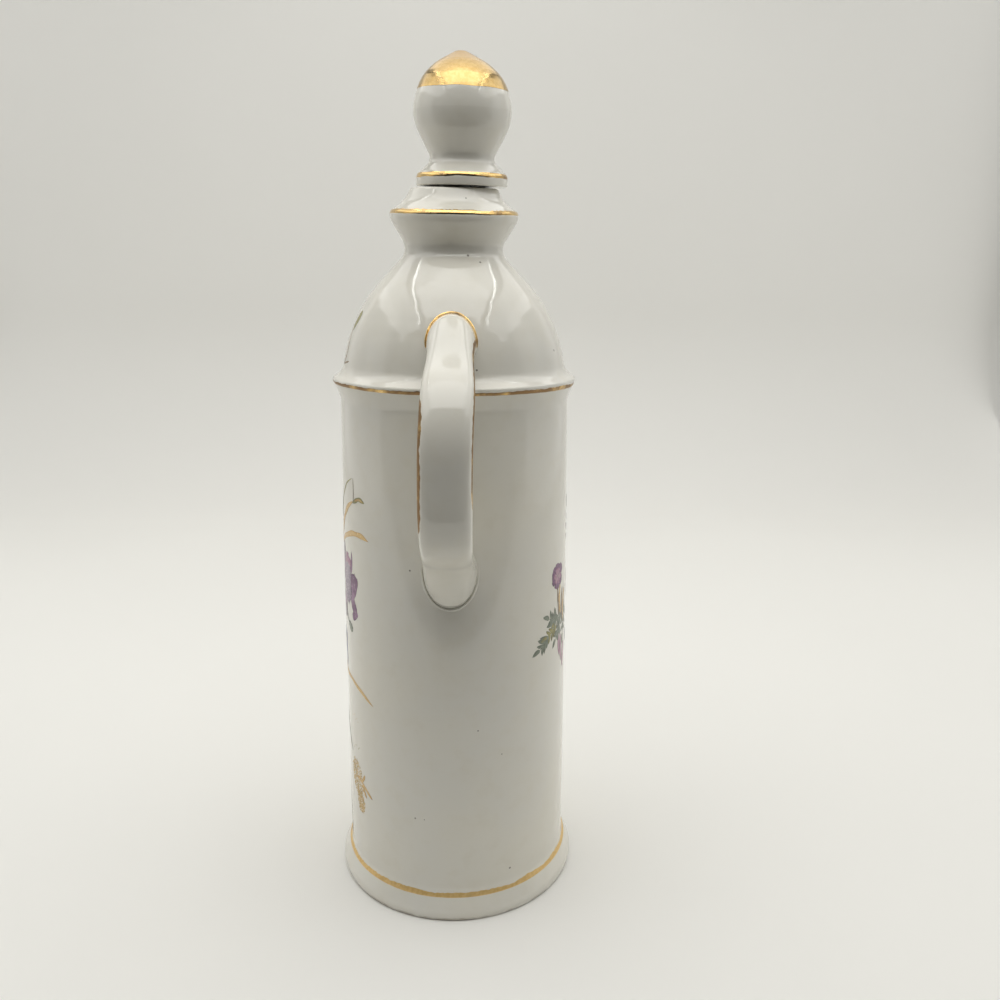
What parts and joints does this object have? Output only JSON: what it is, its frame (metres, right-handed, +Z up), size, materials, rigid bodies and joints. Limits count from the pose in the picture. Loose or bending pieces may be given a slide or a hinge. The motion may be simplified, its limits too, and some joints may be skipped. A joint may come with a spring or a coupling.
{
  "type": "decanter",
  "caption": "Tall cylindrical porcelain liquor decanter with a domed shoulder, collared neck, strap handle and a corked ball stopper that lifts out.",
  "frame": {"origin": "on the bottle's axis in the plane that the foot ring stands on; the recessed base panel lies 1.2 mm above it", "axes": "+Z up along the bottle's axis towards the stopper, -Y towards the handle, +X to the right seen from the handle's side"},
  "size_m": [0.0784, 0.105, 0.2556],
  "materials": {
    "glazed_porcelain": "glossy clear glaze over ivory porcelain, with gilt bands and floral transfers",
    "handle_porcelain": "glossy clear glaze with gilt edges",
    "stopper_porcelain": "glossy clear glaze with a bright gilt cap",
    "cork": "natural agglomerated cork"
  },
  "bodies": {
    "bottle": {"bottle_body": "glazed_porcelain", "strap_handle": "handle_porcelain"},
    "stopper": {"stopper_knob": "stopper_porcelain", "cork_sleeve": "cork"}
  },
  "joints": [
    {"name": "stopper_lift", "type": "slide", "parent": "bottle", "child": "stopper", "axis": [0, 0, 1], "range_m": [0, 0.03]}
  ]
}
